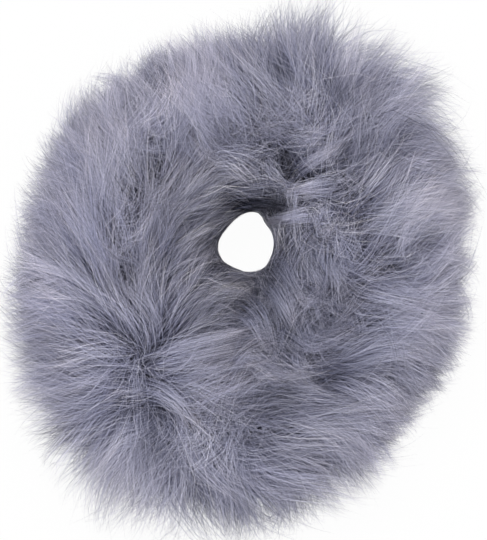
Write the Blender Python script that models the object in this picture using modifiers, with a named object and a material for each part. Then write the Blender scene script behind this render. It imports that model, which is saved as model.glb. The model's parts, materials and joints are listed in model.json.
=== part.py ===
"""A soft ring of long-pile faux fur, gathered on a hidden elastic loop and lying flat.

A strip of fur fabric is sewn into a tube, the tube is bent into a ring, and its two ends are sewn
together round a loop of flat elastic that is free to slip round inside. The ring's axis is +Z, and
+Y is the top of the ring as it faces the viewer. The origin is on the surface that the ring lies
on, under the middle of its outline. Lengths are in metres and bearings run anticlockwise from +X.
"""

import math

import bmesh
import bpy
from mathutils import Matrix, Vector

MM = 0.001

# Room between pieces that lie against each other
CLEARANCE = 0.3 * MM

# Hole through the fur, seen from above
HOLE_RADIUS = 6.4 * MM
HOLE_SHIFT = 6.1 * MM  # from the ring's axis to the middle of the hole
HOLE_BEARING = math.radians(82)

# Fur, from the knit backing to its tips
PILE_INSIDE = 5.4 * MM  # at its thinnest, beside the hole
PILE_OUTSIDE = 10.5 * MM  # on average, round the rim
PILE_ABOVE = 10.0 * MM
PILE_BELOW = 6.2 * MM  # crushed by the ring's weight
OVAL_SWELL = 4.5 * MM  # how far the rim's outline is drawn out into an oval
OVAL_BEARING = math.radians(64)
SQUARE_SWELL = 1.1 * MM  # and into four soft corners
SQUARE_BEARING = math.radians(52)
LEAN_SWELL = 0.8 * MM  # and into three
LEAN_BEARING = math.radians(42)
TUFT_SWELL = 1.2 * MM  # height of the tufts along the ring's top
TUFT_COUNT = 7
FUR_FULLNESS = 2.3  # 2 is an ellipse in section, and more is squarer
MOUTH_FULLNESS = 1.7  # the same where the fur dips into the hole from above
FUR_SINK = 1.12  # how far below the surface the fur would reach if it weren't crushed flat

# Knit backing of the fur, sewn into a tube
TUBE_RADIUS = 11.5 * MM  # to the middle of the cloth
CLOTH_THICKNESS = 1.0 * MM
GATHER_DEPTH = 1.1 * MM  # how far a gather stands out of the tube, or dips into it
GATHER_COUNT = 9
SEAM_ALLOWANCE = 5.0 * MM  # how far the cloth's long edges turn up into the tube
SEAM_STITCH_INSET = 2.2 * MM  # from those edges down to the long seam
CLOSING_BEARING = math.radians(62)  # where the tube's two ends meet

# Sewing thread
THREAD_DIAMETER = 0.5 * MM
LONG_STITCHES = 24
CLOSING_STITCHES = 9
CLOSING_MARGIN = 2.5 * MM  # from the end of the tube to its needle holes
CLOSING_FIRST = math.radians(-65)  # round the tube, from its rim side
CLOSING_LAST = math.radians(140)

# Flat elastic loop inside the tube
ELASTIC_WIDTH = 6.0 * MM
ELASTIC_THICKNESS = 1.2 * MM
ELASTIC_OVERLAP = 14.0 * MM
ELASTIC_RAMP = math.radians(40)  # the turn over which one end climbs onto the other
JOIN_GATHER = 4.5  # gathers from the closing seam to the join, which lies under a dip
JOIN_STITCHES = 6
JOIN_MARGIN = 1.2 * MM  # from the elastic's edges to its needle holes

# Facets
COLUMNS = 36  # round the ring
FUR_ROWS = 16  # round the fur
CAVITY_ROWS = 12  # round the space that the fur leaves for its backing
WALL_ROWS = 14  # round the backing
FLANGE_ROWS = 2  # up each turned-in edge
NEEDLE_SIDES = 6

# Colours as linear light
FUR_GREY = (0.235, 0.235, 0.300)
BACKING_GREY = (0.310, 0.310, 0.350)
ELASTIC_GREY = (0.560, 0.560, 0.580)
THREAD_GREY = (0.200, 0.200, 0.240)


def facet_sag(radius, sides):
    """How far a regular polygon's sides must move out to clear the circle through its corners."""
    return radius * (1 / math.cos(math.pi / sides) - 1)


# Sizes that follow from the ones above
CLOTH_REACH = TUBE_RADIUS + GATHER_DEPTH + CLOTH_THICKNESS / 2
RING_RADIUS = HOLE_SHIFT + HOLE_RADIUS + PILE_INSIDE + CLEARANCE + CLOTH_REACH
RIM_RADIUS = RING_RADIUS + CLOTH_REACH + CLEARANCE + PILE_OUTSIDE
TUBE_HEIGHT = PILE_BELOW + CLEARANCE + CLOTH_REACH
FUR_TOP = CLOTH_REACH + CLEARANCE + PILE_ABOVE
THREAD_RADIUS = THREAD_DIAMETER / 2
NEEDLE_RADIUS = THREAD_RADIUS + CLEARANCE
SEAM_GAP = 2 * CLEARANCE
FLANGE_OFFSET = (CLOTH_THICKNESS + SEAM_GAP) / 2
FLANGE_SLANT = math.asin(FLANGE_OFFSET / TUBE_RADIUS)
CLOSING_HALF_GAP = SEAM_GAP / 2 / RING_RADIUS
CLOSING_HOLE_TURN = CLOSING_HALF_GAP + CLOSING_MARGIN / RING_RADIUS
CLOSING_STEP = (CLOSING_LAST - CLOSING_FIRST) / (CLOSING_STITCHES - 1)
LONG_STITCH_HEIGHT = SEAM_ALLOWANCE - SEAM_STITCH_INSET - TUBE_RADIUS
JOIN_BEARING = CLOSING_BEARING + 2 * math.pi * JOIN_GATHER / GATHER_COUNT


def toward(bearing, radius, height=0.0):
    """A point this far from the ring's axis, and this high over the middle of the tube."""
    return Vector((radius * math.cos(bearing), radius * math.sin(bearing), height))


def gather(bearing, slant):
    """How far the cloth stands out of the tube. It lies flat along the long seam, at the bottom."""
    wave = math.cos(GATHER_COUNT * (bearing - CLOSING_BEARING))
    return GATHER_DEPTH * wave * (1 + math.sin(slant)) / 2


def on_tube(bearing, slant, lift):
    """A point this far outside the middle of the cloth; slant turns from the rim side over the top."""
    reach = TUBE_RADIUS + gather(bearing, slant) + lift
    return toward(bearing, RING_RADIUS + reach * math.cos(slant), reach * math.sin(slant))


def rim_reach(bearing):
    """From the ring's axis to the tips of the fur, along its outline."""
    return (
        RIM_RADIUS
        + OVAL_SWELL * math.cos(2 * (bearing - OVAL_BEARING))
        + SQUARE_SWELL * math.cos(4 * (bearing - SQUARE_BEARING))
        + LEAN_SWELL * math.cos(3 * (bearing - LEAN_BEARING))
    )


def column_bearings():
    return [CLOSING_BEARING + 2 * math.pi * i / COLUMNS for i in range(COLUMNS)]


def outline_middle():
    """The middle of the box round the fur's outline, from the ring's axis."""
    rim = [toward(bearing, rim_reach(bearing)) for bearing in column_bearings()]
    return [(min(p[i] for p in rim) + max(p[i] for p in rim)) / 2 for i in range(2)]


# Scene

def clear_scene():
    for obj in list(bpy.data.objects):
        bpy.data.objects.remove(obj)


def new_collection(name):
    collection = bpy.data.collections.new(name)
    bpy.context.scene.collection.children.link(collection)
    return collection


def new_material(name, colour, roughness):
    material = bpy.data.materials.new(name)
    material.use_nodes = True
    shader = material.node_tree.nodes["Principled BSDF"]
    shader.inputs["Base Color"].default_value = (*colour, 1.0)
    shader.inputs["Roughness"].default_value = roughness
    shader.inputs["Metallic"].default_value = 0.0
    return material


def new_axis(name, collection):
    """An empty on the ring's axis, level with the middle of the tube, which its pieces hang on."""
    axis = bpy.data.objects.new(name, None)
    collection.objects.link(axis)
    x, y = outline_middle()
    axis.location = (-x, -y, TUBE_HEIGHT)
    return axis


def place(obj, collection, axis, material=None):
    for other in list(obj.users_collection):
        other.objects.unlink(obj)
    collection.objects.link(obj)
    obj.parent = axis
    if material:
        obj.data.materials.append(material)
    return obj


# Shapes

def sheet(name, columns, rows, point):
    """An open grid of cloth, laid where point(share along its columns, row) says."""
    grid = bmesh.new()
    bmesh.ops.create_grid(grid, x_segments=columns, y_segments=rows, size=1.0)
    for vertex in grid.verts:
        across = round((vertex.co.y + 1) / 2 * rows)
        vertex.co = point((vertex.co.x + 1) / 2, across)
    mesh = bpy.data.meshes.new(name)
    grid.to_mesh(mesh)
    grid.free()
    return bpy.data.objects.new(name, mesh)


def closed_ring(name, rows, point):
    """A torus, laid where point(bearing, slant) says."""
    bpy.ops.mesh.primitive_torus_add(
        major_segments=COLUMNS, minor_segments=rows, major_radius=1.0, minor_radius=0.25
    )
    ring = bpy.context.object
    ring.name = ring.data.name = name
    for vertex in ring.data.vertices:
        x, y, z = vertex.co
        slant = math.atan2(z, math.hypot(x, y) - 1.0)
        vertex.co = point(CLOSING_BEARING + math.atan2(y, x), slant)
    return ring


def thicken(obj, thickness):
    solidify = obj.modifiers.new("thickness", "SOLIDIFY")
    solidify.thickness = thickness
    solidify.offset = 0.0
    solidify.use_even_offset = True
    solidify.use_quality_normals = True


def cut(obj, cutter):
    cutter.hide_render = True
    cutter.display_type = "WIRE"
    boolean = obj.modifiers.new("cut_by_" + cutter.name, "BOOLEAN")
    boolean.operation = "DIFFERENCE"
    boolean.solver = "EXACT"
    boolean.object = cutter


def needle_holes(name, holes, length):
    """One round cutter for each (middle, direction)."""
    drills = bmesh.new()
    for middle, direction in holes:
        turn = direction.to_track_quat("Z", "Y").to_matrix().to_4x4()
        bmesh.ops.create_cone(
            drills,
            cap_ends=True,
            segments=NEEDLE_SIDES,
            radius1=NEEDLE_RADIUS,
            radius2=NEEDLE_RADIUS,
            depth=length,
            matrix=Matrix.Translation(middle) @ turn,
        )
    mesh = bpy.data.meshes.new(name)
    drills.to_mesh(mesh)
    drills.free()
    return bpy.data.objects.new(name, mesh)


def eased(points, cut_length):
    """The same path with its corners cut across, so that the thread bends and doesn't kink."""
    path = [points[0]]
    for before, corner, after in zip(points, points[1:], points[2:]):
        for end in (before, after):
            step = end - corner
            path.append(corner + step * min(cut_length / step.length, 0.4))
    return path + [points[-1]]


def thread(name, points):
    """Sewing thread along a path through its needle holes."""
    curve = bpy.data.curves.new(name, "CURVE")
    curve.dimensions = "3D"
    curve.bevel_depth = THREAD_RADIUS
    curve.bevel_resolution = 1
    curve.use_fill_caps = True
    path = eased(points, THREAD_DIAMETER)
    spline = curve.splines.new("POLY")
    spline.points.add(len(path) - 1)
    for spot, at in zip(spline.points, path):
        spot.co = (*at, 1.0)
    return bpy.data.objects.new(name, curve)


# Knit backing

def cloth_point(share, row):
    """From one turned-in long edge, round the tube by its hole side and top, to the other edge."""
    bearing = CLOSING_BEARING + CLOSING_HALF_GAP + share * 2 * (math.pi - CLOSING_HALF_GAP)
    last = 2 * FLANGE_ROWS + WALL_ROWS
    for edge, side in ((row, -1), (last - row, 1)):
        if edge < FLANGE_ROWS:
            foot = -TUBE_RADIUS * math.cos(FLANGE_SLANT)
            height = foot + SEAM_ALLOWANCE * (1 - edge / FLANGE_ROWS)
            return toward(bearing, RING_RADIUS + side * FLANGE_OFFSET, height)
    turn = (row - FLANGE_ROWS) / WALL_ROWS * 2 * (math.pi - FLANGE_SLANT)
    return on_tube(bearing, -math.pi / 2 - FLANGE_SLANT - turn, 0.0)


def long_stitch_bearings():
    step = 2 * math.pi / LONG_STITCHES
    return [CLOSING_BEARING + (i + 0.5) * step for i in range(LONG_STITCHES)]


def closing_holes():
    """(bearing, slant) of each stitch's needle hole in the one end of the tube and in the other."""
    slants = [CLOSING_FIRST + i * CLOSING_STEP for i in range(CLOSING_STITCHES)]
    return [
        [(CLOSING_BEARING + side * CLOSING_HOLE_TURN, slant) for side in (-1, 1)]
        for slant in slants
    ]


def make_backing(parts, cutters, axis, material):
    rows = 2 * FLANGE_ROWS + WALL_ROWS
    backing = place(sheet("knit_backing", COLUMNS, rows, cloth_point), parts, axis, material)
    thicken(backing, CLOTH_THICKNESS)
    long_holes = [
        (toward(bearing, RING_RADIUS, LONG_STITCH_HEIGHT), toward(bearing, 1.0))
        for bearing in long_stitch_bearings()
    ]
    long_drill = needle_holes("long_seam_holes", long_holes, 2 * SEAM_GAP + 4 * CLOTH_THICKNESS)
    end_holes = [
        (on_tube(*hole, 0.0), on_tube(*hole, CLOTH_THICKNESS) - on_tube(*hole, 0.0))
        for stitch in closing_holes()
        for hole in stitch
    ]
    end_drill = needle_holes("closing_seam_holes", end_holes, 3 * CLOTH_THICKNESS)
    for drill in (long_drill, end_drill):
        cut(backing, place(drill, cutters, axis))


# Fur

def fur_point(bearing, slant):
    """A point on the tips of the fur: an oval in section, from the hole to the rim, with a flat foot."""
    hole_middle = toward(HOLE_BEARING, HOLE_SHIFT)
    inner = hole_middle + toward(bearing, HOLE_RADIUS)
    outer = toward(bearing, rim_reach(bearing))
    across, up = math.cos(slant), math.sin(slant)
    power = 2 / (MOUTH_FULLNESS if across < 0 < up else FUR_FULLNESS)
    level = math.copysign(abs(across) ** power, across)
    upright = math.copysign(abs(up) ** power, up)
    tuft = TUFT_SWELL * math.cos(TUFT_COUNT * (bearing - CLOSING_BEARING))
    rise = FUR_TOP + tuft if upright > 0 else TUBE_HEIGHT * FUR_SINK
    spot = inner.lerp(outer, (1 + level) / 2)
    spot.z = max(upright * rise, -TUBE_HEIGHT)
    return spot


def closing_lift():
    """From the middle of the cloth to the middle of the closing thread, outside it or inside it."""
    sag = facet_sag(TUBE_RADIUS, 2 * math.pi / CLOSING_STEP)
    bulge = GATHER_DEPTH * (1 - math.cos(GATHER_COUNT * CLOSING_HOLE_TURN))
    return CLOTH_THICKNESS / 2 + CLEARANCE + THREAD_RADIUS + sag + bulge


def cavity_point(bearing, slant):
    """The fur's inner side lies on the backing, and stands off the closing stitches."""
    resting = CLOTH_THICKNESS / 2 + CLEARANCE
    stitched = closing_lift() + THREAD_RADIUS + CLEARANCE
    away = abs(math.remainder(bearing - CLOSING_BEARING, 2 * math.pi))
    lift = stitched if away < CLOSING_HOLE_TURN + 2 * math.pi / COLUMNS else resting
    return on_tube(bearing, slant, lift + facet_sag(CLOTH_REACH, CAVITY_ROWS))


def make_parting():
    """A thin blade that parts the fur where the tube's two ends meet."""
    reach = RIM_RADIUS + OVAL_SWELL + SQUARE_SWELL + LEAN_SWELL + PILE_OUTSIDE
    blade = bmesh.new()
    bmesh.ops.create_cube(blade, size=1.0)
    bmesh.ops.scale(blade, vec=(reach, SEAM_GAP, 4 * FUR_TOP), verts=blade.verts)
    bmesh.ops.translate(blade, vec=(reach / 2, 0.0, 0.0), verts=blade.verts)
    mesh = bpy.data.meshes.new("fur_parting")
    blade.to_mesh(mesh)
    blade.free()
    parting = bpy.data.objects.new("fur_parting", mesh)
    parting.rotation_euler.z = CLOSING_BEARING
    return parting


def make_fur(parts, cutters, axis, material):
    fur = place(closed_ring("fur_pile", FUR_ROWS, fur_point), parts, axis, material)
    fur.data.shade_smooth()
    cavity = closed_ring("fur_cavity", CAVITY_ROWS, cavity_point)
    for cutter in (cavity, make_parting()):
        cut(fur, place(cutter, cutters, axis))


# Seams

def make_long_seam(parts, axis, material):
    """A running stitch through both turned-in edges, from one end of the tube to the other."""
    sag = facet_sag(RING_RADIUS, LONG_STITCHES)
    lift = SEAM_GAP / 2 + CLOTH_THICKNESS + CLEARANCE + THREAD_RADIUS + sag
    path = []
    for i, bearing in enumerate(long_stitch_bearings()):
        side = 1 if i % 2 else -1
        for offset in (side * lift, -side * lift):
            path.append(toward(bearing, RING_RADIUS + offset, LONG_STITCH_HEIGHT))
    place(thread("long_seam_thread", path), parts, axis, material)


def make_closing_seam(parts, axis, material):
    """A whip stitch over the meeting of the tube's ends, clear of the elastic on the hole side."""
    lift = closing_lift()
    path = []
    for near, far in closing_holes():
        path += [on_tube(*near, lift), on_tube(*near, -lift)]
        path += [on_tube(*far, -lift), on_tube(*far, lift)]
    place(thread("closing_seam_thread", path), parts, axis, material)


# Elastic loop

def elastic_radius():
    """Inner side of the loop, drawn towards the hole until its stitches near the deepest gathers."""
    height = ELASTIC_WIDTH / 2 - JOIN_MARGIN + THREAD_RADIUS
    dip = GATHER_DEPTH * (1 + height / TUBE_RADIUS) / 2
    wall = (TUBE_RADIUS - dip - CLOTH_THICKNESS / 2) * math.cos(math.pi / WALL_ROWS)
    stitches = RING_RADIUS - math.sqrt(wall**2 - height**2) + CLEARANCE
    return stitches + THREAD_DIAMETER + CLEARANCE


def overlap_turn():
    return ELASTIC_OVERLAP / elastic_radius()


def elastic_point(share, row):
    """Once round the tube, then on over its own start."""
    turn = share * (2 * math.pi + overlap_turn())
    climb = min(max((turn - 2 * math.pi + ELASTIC_RAMP) / ELASTIC_RAMP, 0.0), 1.0)
    climb = climb * climb * (3 - 2 * climb)
    radius = elastic_radius() + ELASTIC_THICKNESS / 2
    radius += climb * (ELASTIC_THICKNESS + CLEARANCE)
    bearing = JOIN_BEARING - overlap_turn() / 2 + turn
    return toward(bearing, radius, (row - 0.5) * ELASTIC_WIDTH)


def join_stops():
    """(bearing, height) of each needle hole of the zigzag through the overlap."""
    spread = overlap_turn() - 2 * JOIN_MARGIN / elastic_radius()
    rise = ELASTIC_WIDTH / 2 - JOIN_MARGIN
    return [
        (
            JOIN_BEARING + spread * (i / (JOIN_STITCHES - 1) - 0.5),
            rise if i % 2 else -rise,
        )
        for i in range(JOIN_STITCHES)
    ]


def join_middle():
    """Middle of the two layers of elastic, from the ring's axis."""
    return elastic_radius() + ELASTIC_THICKNESS + CLEARANCE / 2


def make_elastic(parts, cutters, axis, material):
    elastic = place(sheet("elastic_band", COLUMNS, 1, elastic_point), parts, axis, material)
    thicken(elastic, ELASTIC_THICKNESS)
    holes = [
        (toward(bearing, join_middle(), height), toward(bearing, 1.0))
        for bearing, height in join_stops()
    ]
    drill = needle_holes("elastic_join_holes", holes, 4 * ELASTIC_THICKNESS)
    cut(elastic, place(drill, cutters, axis))


def make_elastic_join(parts, axis, material):
    """A zigzag that swaps sides of the doubled elastic at each needle hole."""
    lift = ELASTIC_THICKNESS + CLEARANCE / 2 + CLEARANCE + THREAD_RADIUS
    path = []
    for i, (bearing, height) in enumerate(join_stops()):
        side = 1 if i % 2 else -1
        for offset in (side * lift, -side * lift):
            path.append(toward(bearing, join_middle() + offset, height))
    place(thread("elastic_join_thread", path), parts, axis, material)


def main():
    clear_scene()
    parts = new_collection("fur_ring")
    cutters = new_collection("fur_ring_cutters")
    sleeve_axis = new_axis("fur_sleeve_axis", parts)
    elastic_axis = new_axis("elastic_axis", parts)
    thread_material = new_material("sewing_thread", THREAD_GREY, 0.6)
    make_fur(parts, cutters, sleeve_axis, new_material("fur", FUR_GREY, 0.8))
    make_backing(parts, cutters, sleeve_axis, new_material("knit_cloth", BACKING_GREY, 0.9))
    make_long_seam(parts, sleeve_axis, thread_material)
    make_closing_seam(parts, sleeve_axis, thread_material)
    make_elastic(parts, cutters, elastic_axis, new_material("elastic", ELASTIC_GREY, 0.7))
    make_elastic_join(parts, elastic_axis, thread_material)


main()
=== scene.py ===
"""A soft ring of long-pile faux fur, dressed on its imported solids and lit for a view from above.

The fur is made of real strands. Most have their root on the knit backing, follow the comb of the
pile and draw together with their neighbours into locks, and a few locks are laid over the rest.
Lengths are in millimetres, measured from the ring's axis and from the floor, until they go into a
mesh. Headings are in degrees, anticlockwise from +X as seen from above.
"""

import json
import math
from dataclasses import dataclass

import bpy
import numpy as np
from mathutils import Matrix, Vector
from mathutils.kdtree import KDTree


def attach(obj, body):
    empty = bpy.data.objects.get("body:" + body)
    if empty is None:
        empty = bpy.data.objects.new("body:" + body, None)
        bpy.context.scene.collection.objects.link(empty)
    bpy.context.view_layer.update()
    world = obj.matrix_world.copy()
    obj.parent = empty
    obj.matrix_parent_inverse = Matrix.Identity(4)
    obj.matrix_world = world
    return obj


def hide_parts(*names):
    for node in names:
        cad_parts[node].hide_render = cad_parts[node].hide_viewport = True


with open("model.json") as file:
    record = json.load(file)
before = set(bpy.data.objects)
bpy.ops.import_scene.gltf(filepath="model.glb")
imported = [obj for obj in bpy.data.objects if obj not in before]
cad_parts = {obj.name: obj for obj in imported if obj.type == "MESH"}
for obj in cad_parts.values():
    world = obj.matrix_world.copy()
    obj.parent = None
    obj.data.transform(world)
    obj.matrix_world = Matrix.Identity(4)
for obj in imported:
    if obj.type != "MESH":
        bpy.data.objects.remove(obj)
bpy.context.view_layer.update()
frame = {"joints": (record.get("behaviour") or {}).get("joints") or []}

MM = 0.001
rng = np.random.default_rng(11)

# Tube of cloth, as in the solids
AXIS = np.array(frame["joints"][0]["pos_m"]) / MM
RING_RADIUS = 31.3
TUBE_RADIUS = 11.5
TUBE_HEIGHT = AXIS[2]
CLOTH_THICKNESS = 1.0
GATHER_DEPTH = 1.1
GATHER_COUNT = 9
SEAM_ALLOWANCE = 5.0
SEAM_GAP = 0.6
CLOSING_BEARING = math.radians(62)

# Hole and outline of the pile: bearing, and about how far the edge or the last tips are there
HOLE_MIDDLE = np.array([0.65, 5.7])
HOLE_RADIUS = 6.4  # as in the solids
HOLE_EDGE = (
    (0, 6.3), (30, 6.4), (48, 6.3), (60, 7.2), (70, 7.7), (80, 7.5), (100, 6.8), (120, 6.0), (140, 5.6),
    (165, 6.2), (195, 6.9), (215, 6.7), (245, 6.2), (268, 6.5), (284, 7.2), (300, 6.9), (330, 6.3),
)
OUTLINE = (
    (5, 52.0), (15, 55.6), (30, 58.6), (45, 66.8), (60, 64.6), (75, 66.0), (90, 57.2), (105, 55.4),
    (120, 54.2), (135, 56.0), (150, 54.6), (170, 52.6), (195, 57.2), (210, 61.0), (225, 64.0), (240, 68.3),
    (255, 64.5), (270, 63.8), (285, 60.3), (300, 58.8), (317, 52.4), (330, 52.7), (345, 54.2),
)
PILE_TOP = 24.8  # over the middle of the tube
PILE_FULLNESS = 2.3  # 2 is an ellipse in section, and more is squarer
MOUTH_FULLNESS = 1.7  # the same where the pile dips into the hole
TUFT_SWELL = 1.2
TUFT_COUNT = 7
RIM_SPREAD = 2.5  # how far the tips fan out above the section's oval at the rim
RIM_START = 0.55  # share of the way from the crown to the rim where they begin to
RIM_ROUND = 30.0  # over or under the middle of the tube, where the rim would close to nothing
RIM_ROUND_MOST = 0.95  # share of that height that is counted at most

# Strands
COAT_COUNT = 103000
UNDERCOAT_COUNT = 16000
LINING_COUNT = 4000
STRAND_RADIUS = 0.041
STRAND_STEPS = 5
STRAND_PROFILE = (0.85, 1.0, 0.95, 0.75, 0.45, 0.0)  # thickness from root to tip
LOCK_COUNT = 3400  # a lock is drawn together from many strands
TRESS_COUNT = 260  # and a tress is many locks that lie alike
TRESS_TINT, LOCK_TINT = 0.6, 0.8  # how much tresses and locks differ in tint
KEPT_APART = 0.4  # share of its distance from the lock that a strand keeps when fully drawn in
PIECES = 20
LOOSE_SHARE = 0.14  # of the coat, which keeps out of the locks
LOOSE_TINT = 0.2
DARK_SHARE = 0.24  # of the coat, which is darker by this tint
DARK_TINT = 1.9
WAVE = 0.5  # sideways, at the tips
UNDERSIDE_DENSITY = 0.35  # of the roots at least, against the top of the cloth
BEARING_STEP = 0.7548776662466927  # shares of a turn from each root to the next, which spread them evenly
SLANT_STEP = 0.5698402909980532
SLANT_SAMPLES = 721

# Length of the pile, and how it grows
SIDE_LENGTH = 20.0
MORE_ON_TOP = 8.0
LESS_BELOW = 5.0
USUAL_REACH = 25.0  # of the outline past the middle of the tube
FIRST_BEND = 0.35  # how far a strand leans along the comb at its root
BENT_BY = 0.6  # share of its length by which it has bent over
SURENESS = 1.25  # how much the agreement of the guide hairs counts
LESS_DROOP = 0.6  # share of its droop that a strand on top of the cloth is spared
RUN_SIDE = 1.5  # how soon strands run in fully, from the crown round to the hole's side
RUN_BLEND = 6.0  # length over which a strand leaves its run to the hole and turns with the comb
RUN_RISE = 0.3  # slope of that run
RUN_DEPTH = 7.0  # under the tips of the pile, where it runs
FRAY = 0.25  # how far strands keep off the hole and the floor, as a share of their slack
MOST_SLACK = 3.0
FLOOR_GAP = 0.4
HOLE_PUSH = 1.2  # how far strands are moved out of the hole, against how far they cut into it

# How far tips reach, as shares of the outline: the farthest, and how much less by chance
LOCK_REACH, LOCK_SHORTER = 1.03, 0.13
STRAND_OVER, STRAND_SHORTER = 0.045, 0.18  # past the reach of its lock
FIT_FROM = 0.82  # share past which a strand's length is fitted to its reach
LEAST_FIT, MOST_FIT = 0.45, 1.5  # factors on that length

# How the pile is combed: (x, y, heading) of each guide hair, as seen from above
GUIDE_HAIRS = (
    # Upper left, fanning up and out
    (-42, 25, 125), (-33, 34, 117), (-26, 37, 105), (-19, 39, 102), (-10, 48, 112), (-3, 46, 115),
    (-1, 53, 100), (-21, 27, 95), (-38, 38, 130), (-20, 48, 108), (-50, 8, 150),
    # Over the top of the hole, swept to the right
    (-9, 13, 62), (-6, 17, 45), (-2, 19.5, 15), (3, 20, -12), (6.5, 18.5, -22), (-13, 18, 65),
    (-16, 24, 80), (-9, 26, 90), (-2, 27, 100), (4, 26, 120),
    # Upper right
    (13, 57, 88), (17, 55, 70), (22, 51, 52), (29, 51, 35), (32, 48, 15), (40, 43, 30),
    (45, 39, 15), (47, 33, 0), (45, 30, -3), (36, 35, 15), (38, 23, 22), (17, 46, 60),
    (13, 50, 93), (6, 41, 130), (4, 37, 145), (13, 37, 110), (20, 32, 75), (24, 27, 55), (15, 23, 40),
    # Right of the hole, and out to the right
    (13, 18, 180), (12, 14, 200), (11, 5, -63), (15, -5, -75), (8, -2, -50), (4, -7, -45), (13, 0, -68),
    (22, 9, 60), (29, 16, 30), (36, 18, 30), (36, 9, 38), (43, 5, 27), (31, -5, 12),
    (40, -5, 15), (36, -9, 0), (47, -9, -10), (31, -16, -5), (43, -16, -25), (49, 16, 5),
    (24, -14, 20), (17, -16, 30), (11, -15, -85), (6, -17, -110),
    # Lower right
    (22, -21, 30), (31, -21, -8), (40, -18, -25), (45, -23, -40), (24, -30, -10), (33, -30, -28),
    (38, -25, -20), (27, -39, -25), (20, -34, -10), (13, -32, 10), (13, -39, -3), (8, -41, -15),
    (1, -46, -40), (8, -48, -45), (13, -53, -57), (22, -48, -50), (29, -48, -45),
    (3, -27, 38), (-3, -27, 38), (1, -35, 33),
    # Lower left, fanning down and out
    (-1, -57, 285), (-7, -53, 285), (-12, -50, 270), (-18, -50, 260), (-24, -48, 245),
    (-28, -45, 228), (-33, -41, 215), (-37, -34, 200), (-42, -30, 197), (-42, -24, 185),
    (-49, -21, 180), (-28, -25, 200), (-15, -30, -40), (-9, -46, -50), (-4, -41, -40),
    (-10, -17, 18), (-1, -14, 25), (-13, -22, 8), (-20, -22, 12), (-32, -22, 186), (-24, -14, 80),
    (-9, -32, 36), (-14, -42, 275), (-24, -37, 240),
    # Left of the hole, and out to the left
    (-49, 16, 167), (-44, 11, 140), (-37, 7, 135), (-42, 0, 150), (-47, -7, 160), (-35, -7, 145),
    (-51, -16, 180), (-42, -14, 172), (-31, 14, 115), (-26, 16, 102), (-24, 2, 95), (-20, 9, 85),
    (-15, 11, 70), (-10, 7, 65), (-16, 0, 75), (-9, 2, 48), (-7, -3, 5), (-21, -9, 90),
    (-31, -11, 165), (-15, -9, 100), (-28, 7, 113), (-29, 0, 118), (-28, -5, 115),
)
GUIDE_REACH = 5.0
FREE_PULL = 0.05  # straight out from the axis, which decides where no guide hair is near
COMB_BLOCK = 20000  # places combed at a time

# Pits where the pile parts and its depth shows, darkened there with painted shade: (x, y, radius, share of
# the pile's height lost)
PITS = (
    # Along the top of the hole, and in the slit above it
    (-3.4, 13.6, 1.5, 0.5), (0.5, 14.2, 1.5, 0.8), (4.5, 14.3, 1.6, 1.0), (8.2, 13.9, 1.5, 1.0),
    (9.4, 24.6, 0.8, 0.7), (9.7, 22.9, 0.9, 0.85), (9.9, 21.0, 1.0, 0.8),
    # Elsewhere
    (21.5, 39.8, 2.6, 0.38), (22, -5, 3.5, 0.4), (20, -25, 3.5, 0.4), (9.5, -30, 4.0, 0.35),
    (-19, -31, 4.0, 0.4), (-20, -41, 3.5, 0.35), (0, -8.8, 2.0, 0.5), (-4, 29.5, 3.0, 0.2),
    (35, 26, 3.0, 0.3), (8.5, 45, 2.2, 0.5), (-27.5, -23, 3.0, 0.22), (18.5, -12.5, 2.2, 0.4),
    (22.3, 26.5, 1.0, 0.4), (22.3, 24.2, 1.0, 0.4), (41.5, 5.2, 2.2, 0.35),
)

# Painted shade, and contrast
SHADE_DEPTH = 14.0  # under the tips, where the painted shade of the pile is as dark as at its roots
PIT_SHADE = 0.95  # how much deeper the pile looks in the pits, as painted shade
HOLE_SHADE = 0.95  # and where it dips into the hole, also painted shade
HOLE_SHADE_REACH = 6.5
HOLE_CONTRAST = 1.2  # how much more the strands differ in tint round the hole
HOLE_CONTRAST_REACH = 13.0

# Tangles, where the locks lie every way: (x, y, radius)
TANGLES = (
    (1, 30, 8), (14, 28, 6), (22, 40, 4), (21, 12, 4), (-15, -36, 7), (-2, -38, 6), (-26, -22, 3),
    (-20, 30, 4), (20, -8, 4), (33, 27, 4), (41, 5, 3), (-26, 3, 4), (-24, 14, 3),
)
TANGLE_LOOSENESS = 0.75  # share of the comb that is lost in the middle of one

# Patches of painted light and shade, where the pile is drawn paler or darker: (x, y, radius, tint)
PAINTED_SHADING_PATCHES = (
    (15, 7, 5, -1.8), (27, 7, 7, 1.6), (21, 34, 5, 0.6), (32, 49, 7, 1.5), (0, 26, 6, -1.4),
    (1, 43, 7, -0.9), (-18, 5, 5, -1.2), (-27, 7, 4, 1.2), (0, -11, 3.5, -2.4), (-2, -18, 3, 1.2),
    (9, -14, 6, -2.4), (-11, -20, 6, -1.5), (7, -40, 8, -2.4), (36, -21, 6, -1.2), (-34, -20, 6, -0.6),
)

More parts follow.
